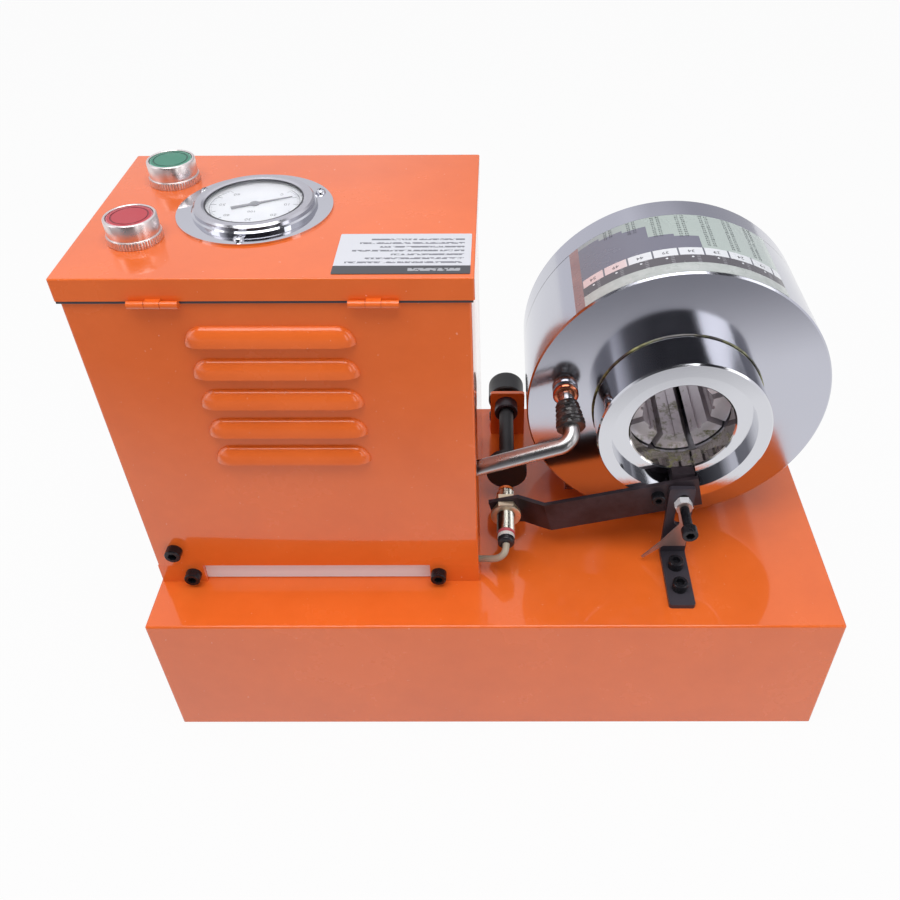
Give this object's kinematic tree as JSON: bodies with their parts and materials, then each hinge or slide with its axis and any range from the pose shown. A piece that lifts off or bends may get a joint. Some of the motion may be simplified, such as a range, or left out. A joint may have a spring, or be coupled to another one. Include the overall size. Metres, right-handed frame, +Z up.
{
  "type": "hose crimping machine",
  "caption": "Electric hydraulic hose crimper: oil tank base, power cabinet with gauge and buttons, round crimping head with radial dies and a sensor stop.",
  "frame": {"origin": "centre of the tank's underside", "axes": "+Z up, +X along the tank from the cabinet to the crimping head, +Y along the head's axis towards the side where the hose goes in"},
  "size_m": [0.437, 0.22, 0.3434],
  "materials": {
    "orange_paint": "gloss",
    "pale_plate": "satin",
    "black_steel": "satin",
    "bare_steel": "satin",
    "zinc": "gloss",
    "chrome": "mirror",
    "die_steel": "satin",
    "seal_rubber": "matte",
    "gauge_white": "matte",
    "gauge_black": "satin",
    "clear_glass": "gloss",
    "green_plastic": "gloss",
    "red_plastic": "gloss",
    "black_plastic": "matte",
    "motor_paint": "gloss",
    "cast_aluminium": "satin",
    "pipe_steel": "satin",
    "black_wrap": "matte",
    "nickel_brass": "gloss",
    "grey_cable": "matte"
  },
  "bodies": {
    "machine": {"base_floor": "orange_paint", "base_screws": "black_steel", "base_shell": "orange_paint", "cabinet_cover": "orange_paint", "cabinet_frame": "orange_paint", "cabinet_screws": "black_steel", "contactor": "black_plastic", "dial_bracket": "orange_paint", "drain_plug": "bare_steel", "filler_cap": "black_plastic", "gear_pump": "cast_aluminium", "head_barrel": "chrome", "head_front_cap": "chrome", "head_saddle": "bare_steel", "hinge_lower_knuckles": "orange_paint", "hinge_pins": "bare_steel", "motor_fan_cowl": "motor_paint", "motor_housing": "motor_paint", "pipe_sleeve": "black_wrap", "pipe_union": "pipe_steel", "pointer_plate": "bare_steel", "power_unit_plate": "pale_plate", "pressure_pipe": "pipe_steel", "solenoid_coil": "black_plastic", "spindle_guide": "black_steel", "stop_bracket": "black_steel", "stop_lock_nut": "zinc", "stop_screw": "black_steel", "valve_block": "pale_plate"},
    "lid": {"lid": "orange_paint", "hinge_upper_knuckles": "orange_paint", "gauge_case": "chrome", "gauge_bezel": "chrome", "gauge_dial": "gauge_white", "gauge_glass": "clear_glass", "gauge_screws": "chrome", "green_button_collar": "chrome", "red_button_collar": "chrome", "switch_blocks": "black_plastic"},
    "gauge_needle": {"gauge_needle": "gauge_black"},
    "green_button": {"green_button": "green_plastic"},
    "red_button": {"red_button": "red_plastic"},
    "piston": {"piston": "chrome", "piston_seals": "seal_rubber", "sensor_arm": "black_steel", "arm_screw": "black_steel", "proximity_sensor": "nickel_brass", "sensor_nuts": "nickel_brass", "sensor_cable": "grey_cable"},
    "motor_rotor": {"motor_rotor": "bare_steel"},
    "target_spindle": {"target_spindle": "black_steel"},
    "dial_knob": {"dial_knob": "black_plastic"},
    "die_1": {"crimp_die_1": "die_steel"},
    "die_2": {"crimp_die_2": "die_steel"},
    "die_3": {"crimp_die_3": "die_steel"},
    "die_4": {"crimp_die_4": "die_steel"},
    "die_5": {"crimp_die_5": "die_steel"},
    "die_6": {"crimp_die_6": "die_steel"},
    "die_7": {"crimp_die_7": "die_steel"},
    "die_8": {"crimp_die_8": "die_steel"}
  },
  "joints": [
    {"name": "lid_hinge", "type": "hinge", "parent": "machine", "child": "lid", "pos_m": [-0.1138, -0.0766, 0.3167], "axis": [1, 0, 0], "range_deg": [0, 105]},
    {"name": "gauge_needle_turn", "type": "hinge", "parent": "lid", "child": "gauge_needle", "pos_m": [-0.1308, 0.001, 0.332], "axis": [0, 0, 1], "range_deg": [-228, 0], "stiffness_Nm_per_rad": 0.0002},
    {"name": "green_button_press", "type": "slide", "parent": "lid", "child": "green_button", "axis": [0, 0, -1], "range_m": [0, 0.004], "stiffness_N_per_m": 400, "springref_m": -0.003},
    {"name": "red_button_press", "type": "slide", "parent": "lid", "child": "red_button", "axis": [0, 0, -1], "range_m": [0, 0.004], "stiffness_N_per_m": 400, "springref_m": -0.003},
    {"name": "motor_spin", "type": "hinge", "parent": "machine", "child": "motor_rotor", "pos_m": [-0.084, 0, 0.2], "axis": [0, 0, 1], "continuous": true},
    {"name": "piston_slide", "type": "slide", "parent": "machine", "child": "piston", "axis": [0, 1, 0], "range_m": [0, 0.014]},
    {"name": "target_slide", "type": "slide", "parent": "machine", "child": "target_spindle", "axis": [0, 1, 0], "range_m": [0, 0.00525]},
    {"name": "dial_knob_turn", "type": "hinge", "parent": "machine", "child": "dial_knob", "pos_m": [0.0078, 0.09, 0.1325], "axis": [0, 1, 0], "range_deg": [0, 1080]},
    {"name": "die_1_slide", "type": "slide", "parent": "machine", "child": "die_1", "axis": [0, 0, 1], "range_m": [0, 0.00455]},
    {"name": "die_2_slide", "type": "slide", "parent": "machine", "child": "die_2", "axis": [-0.7071, 0, 0.7071], "range_m": [0, 0.00455]},
    {"name": "die_3_slide", "type": "slide", "parent": "machine", "child": "die_3", "axis": [-1, 0, 0], "range_m": [0, 0.00455]},
    {"name": "die_4_slide", "type": "slide", "parent": "machine", "child": "die_4", "axis": [-0.7071, 0, -0.7071], "range_m": [0, 0.00455]},
    {"name": "die_5_slide", "type": "slide", "parent": "machine", "child": "die_5", "axis": [0, 0, -1], "range_m": [0, 0.00455]},
    {"name": "die_6_slide", "type": "slide", "parent": "machine", "child": "die_6", "axis": [0.7071, 0, -0.7071], "range_m": [0, 0.00455]},
    {"name": "die_7_slide", "type": "slide", "parent": "machine", "child": "die_7", "axis": [1, 0, 0], "range_m": [0, 0.00455]},
    {"name": "die_8_slide", "type": "slide", "parent": "machine", "child": "die_8", "axis": [0.7071, 0, 0.7071], "range_m": [0, 0.00455]}
  ],
  "couplings": [
    {"joint": "dial_knob_turn", "follows": "target_slide", "rad_per_m": 3590.4},
    {"joint": "die_1_slide", "follows": "piston_slide", "ratio": 0.32492},
    {"joint": "die_2_slide", "follows": "piston_slide", "ratio": 0.32492},
    {"joint": "die_3_slide", "follows": "piston_slide", "ratio": 0.32492},
    {"joint": "die_4_slide", "follows": "piston_slide", "ratio": 0.32492},
    {"joint": "die_5_slide", "follows": "piston_slide", "ratio": 0.32492},
    {"joint": "die_6_slide", "follows": "piston_slide", "ratio": 0.32492},
    {"joint": "die_7_slide", "follows": "piston_slide", "ratio": 0.32492},
    {"joint": "die_8_slide", "follows": "piston_slide", "ratio": 0.32492}
  ]
}
